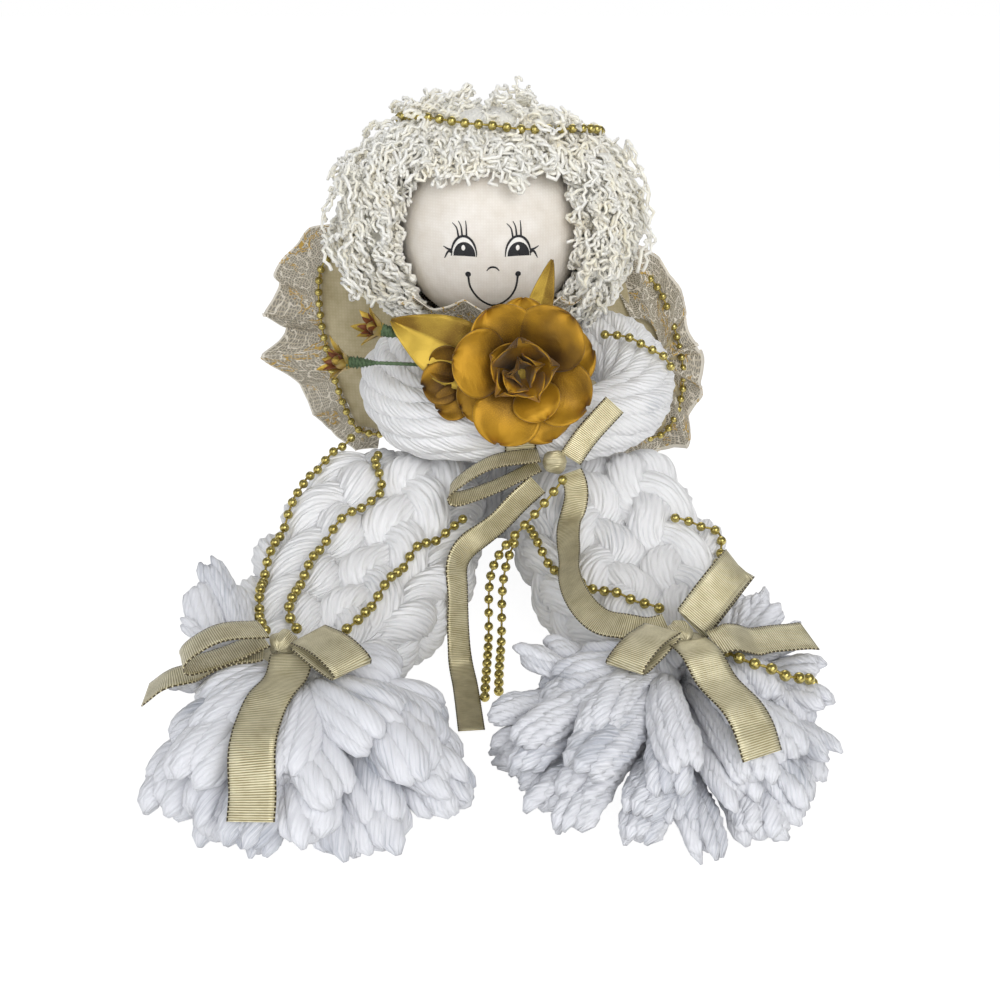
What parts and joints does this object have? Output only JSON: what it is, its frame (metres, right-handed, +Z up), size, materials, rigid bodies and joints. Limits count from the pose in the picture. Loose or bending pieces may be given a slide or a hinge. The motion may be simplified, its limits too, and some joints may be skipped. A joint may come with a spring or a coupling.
{
  "type": "seated yarn angel doll",
  "caption": "Seated rag-doll angel with a muslin ball head, boucle hair, plaited yarn arms and legs, mop feet, lace-edged wings, ribbon bows, bead garlands and a gold satin rose.",
  "frame": {"origin": "middle of the flat seat under the body", "axes": "+Z up, the doll looks towards -Y, left in the names is the viewer's left (-X)"},
  "size_m": [0.2357, 0.3069, 0.2067],
  "materials": {
    "white_yarn": "soft plied yarn with a light sheen",
    "cream_boucle": "looped matt yarn",
    "muslin": "plain weave, matt",
    "cream_fabric": "plain weave, matt",
    "gold_lace": "open lace with gold thread",
    "gold_satin": "satin sheen",
    "gold_ribbon": "woven metallic ribbon",
    "gold_beads": "metallised gold, glossy",
    "stem_green": "paper-wrapped wire, matt"
  },
  "bodies": {
    "torso": {"body_bundle": "white_yarn", "lace_collar": "gold_lace", "arm_left": "white_yarn", "arm_right": "white_yarn", "hand_tie": "gold_ribbon", "rose_outer_petals": "gold_satin", "rose_middle_petals": "gold_satin", "rose_heart_petals": "gold_satin", "rose_base": "gold_satin", "rose_stem": "stem_green", "gold_leaf": "gold_satin", "gold_leaf_small": "gold_satin", "bud_upper": "gold_satin", "bud_lower": "gold_satin", "bud_stem_upper": "stem_green", "bud_stem_lower": "stem_green", "chest_knot": "gold_ribbon", "chest_loop": "gold_ribbon", "chest_tail_short": "gold_ribbon", "chest_tail_long": "gold_ribbon", "chest_tail_hanging": "gold_ribbon", "arm_beads_right": "gold_beads", "chest_beads_first": "gold_beads", "chest_beads_second": "gold_beads"},
    "head": {"head_ball": "muslin", "hair_crown": "cream_boucle", "hair_left": "cream_boucle", "hair_right": "cream_boucle", "hair_back": "cream_boucle", "halo_beads": "gold_beads"},
    "wing_left": {"wing_root_left": "cream_fabric", "wing_panel_left": "cream_fabric", "wing_lace_left": "gold_lace", "wing_beads_left": "gold_beads"},
    "wing_right": {"wing_root_right": "cream_fabric", "wing_panel_right": "cream_fabric", "wing_lace_right": "gold_lace", "wing_beads_right": "gold_beads"},
    "leg_left": {"leg_left": "white_yarn", "ankle_tie_left": "gold_ribbon", "ankle_knot_left": "gold_ribbon", "ankle_loop_left_outer": "gold_ribbon", "ankle_loop_left_inner": "gold_ribbon", "ankle_tail_left_outer": "gold_ribbon", "ankle_tail_left_front": "gold_ribbon", "foot_tassel_left": "white_yarn", "leg_beads_left_outer": "gold_beads", "leg_beads_left_middle": "gold_beads", "leg_beads_left_inner": "gold_beads"},
    "leg_right": {"leg_right": "white_yarn", "ankle_tie_right": "gold_ribbon", "ankle_knot_right": "gold_ribbon", "ankle_loop_right_outer": "gold_ribbon", "ankle_loop_right_inner": "gold_ribbon", "ankle_tail_right_outer": "gold_ribbon", "ankle_tail_right_front": "gold_ribbon", "foot_tassel_right": "white_yarn", "leg_beads_right_inner": "gold_beads", "leg_beads_right_outer": "gold_beads", "foot_beads_right": "gold_beads"}
  },
  "joints": [
    {"name": "hip_left", "type": "hinge", "parent": "torso", "child": "leg_left", "pos_m": [-0.044, -0.054, 0.0335], "axis": [1, 0, 0], "range_deg": [0, 85], "deforming": ["chest_tail_hanging"]},
    {"name": "hip_right", "type": "hinge", "parent": "torso", "child": "leg_right", "pos_m": [0.049, -0.054, 0.0335], "axis": [1, 0, 0], "range_deg": [0, 85], "deforming": ["chest_tail_long"]},
    {"name": "neck_turn", "type": "hinge", "parent": "torso", "child": "head", "pos_m": [0, 0, 0.1537], "axis": [0, 0, 1], "range_deg": [-15, 15]},
    {"name": "wing_left_flap", "type": "hinge", "parent": "torso", "child": "wing_left", "pos_m": [-0.014, 0.0437, 0.076], "axis": [0, 0, 1], "range_deg": [-20, 5]},
    {"name": "wing_right_flap", "type": "hinge", "parent": "torso", "child": "wing_right", "pos_m": [0.014, 0.0437, 0.076], "axis": [0, 0, 1], "range_deg": [-5, 20]}
  ]
}
